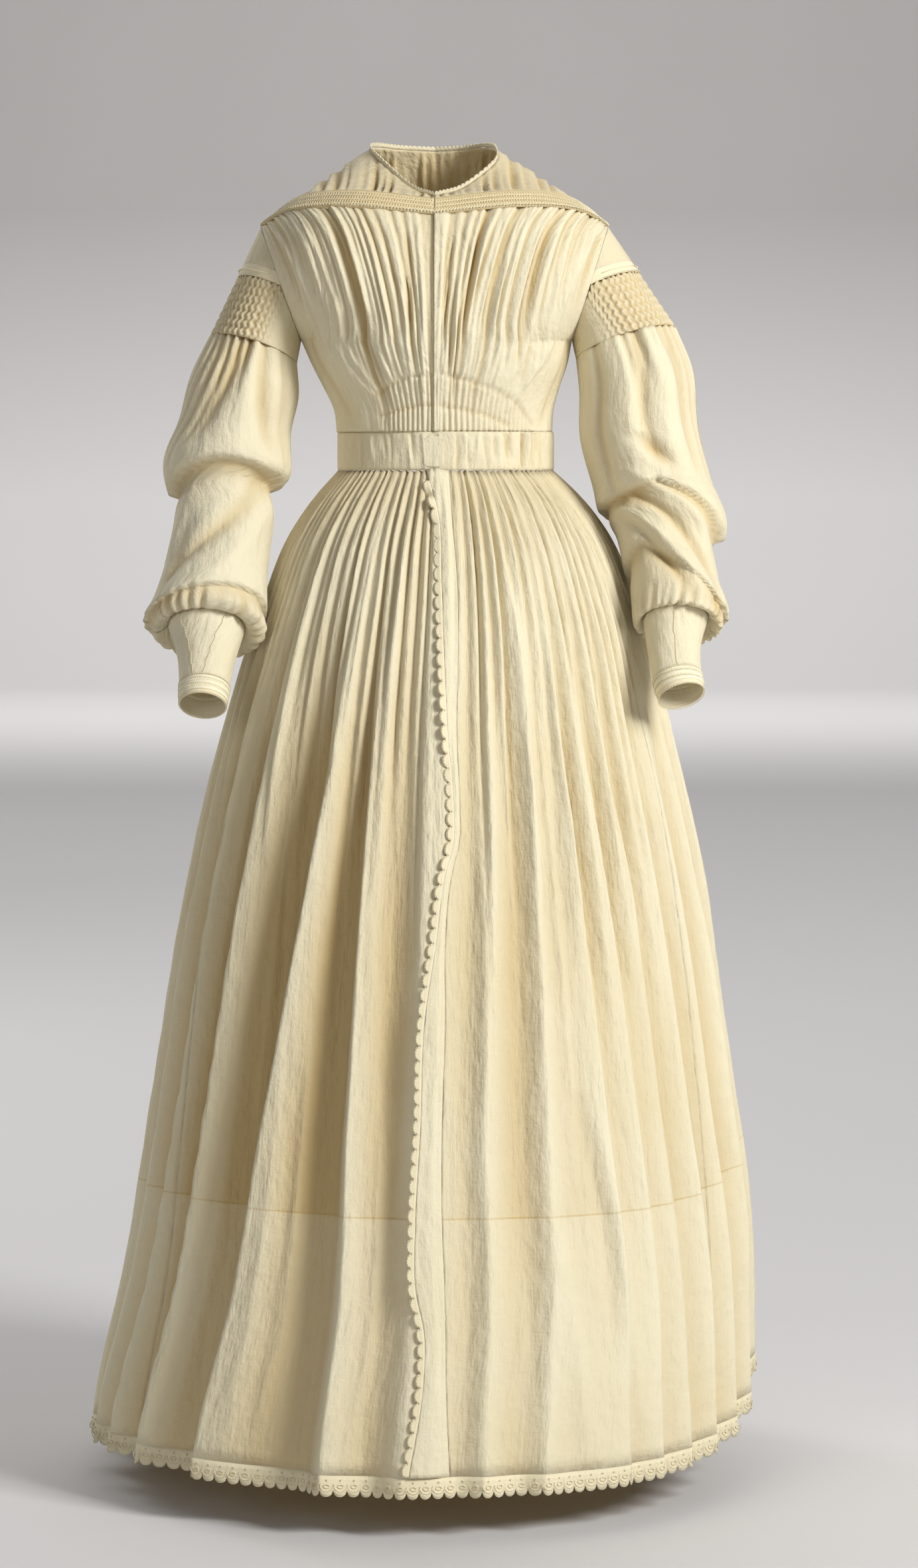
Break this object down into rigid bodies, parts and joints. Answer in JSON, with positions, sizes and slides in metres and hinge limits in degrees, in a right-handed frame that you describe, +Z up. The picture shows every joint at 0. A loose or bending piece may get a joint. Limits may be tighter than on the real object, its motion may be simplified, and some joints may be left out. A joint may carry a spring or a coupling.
{
  "type": "maxi dress",
  "caption": "Long-sleeved floor-length cotton day dress with a gathered bodice, falling yoke, smocked full sleeves and a full gathered skirt with scalloped edgings.",
  "frame": {"origin": "middle of the neck opening, level with the line of the shoulders, where the dress hangs from its wearer", "axes": "+Z up the wearer's body, -Y out of the front opening, +X to the wearer's left"},
  "size_m": [0.7094, 0.7944, 1.3761],
  "materials": {
    "ivory_cotton": "fine plain-woven cotton, dull",
    "herringbone_band": "cotton closely worked with herringbone stitches",
    "scalloped_edging": "scalloped cotton edging with small eyelets"
  },
  "bodies": {
    "root": {"band_back": "herringbone_band", "band_front_l": "herringbone_band", "band_front_r": "herringbone_band", "bodice_back": "ivory_cotton", "bodice_front_l": "ivory_cotton", "bodice_front_r": "ivory_cotton", "cuff_l": "ivory_cotton", "cuff_r": "ivory_cotton", "hem_edging": "scalloped_edging", "neck_edging": "scalloped_edging", "placket": "ivory_cotton", "placket_edging": "scalloped_edging", "shirring_l": "ivory_cotton", "shirring_r": "ivory_cotton", "skirt_back": "ivory_cotton", "skirt_front_l": "ivory_cotton", "skirt_front_r": "ivory_cotton", "skirt_side_l": "ivory_cotton", "skirt_side_r": "ivory_cotton", "sleeve_band_l": "herringbone_band", "sleeve_band_r": "herringbone_band", "sleeve_cap_l": "ivory_cotton", "sleeve_cap_r": "ivory_cotton", "sleeve_l": "ivory_cotton", "sleeve_r": "ivory_cotton", "waist_tab": "ivory_cotton", "waistband_back": "ivory_cotton", "waistband_front_l": "ivory_cotton", "waistband_front_r": "ivory_cotton", "wrist_edging_l": "scalloped_edging", "wrist_edging_r": "scalloped_edging", "wristband_l": "herringbone_band", "wristband_r": "herringbone_band", "yoke_back": "ivory_cotton", "yoke_front_l": "ivory_cotton", "yoke_front_r": "ivory_cotton"}
  },
  "joints": []
}
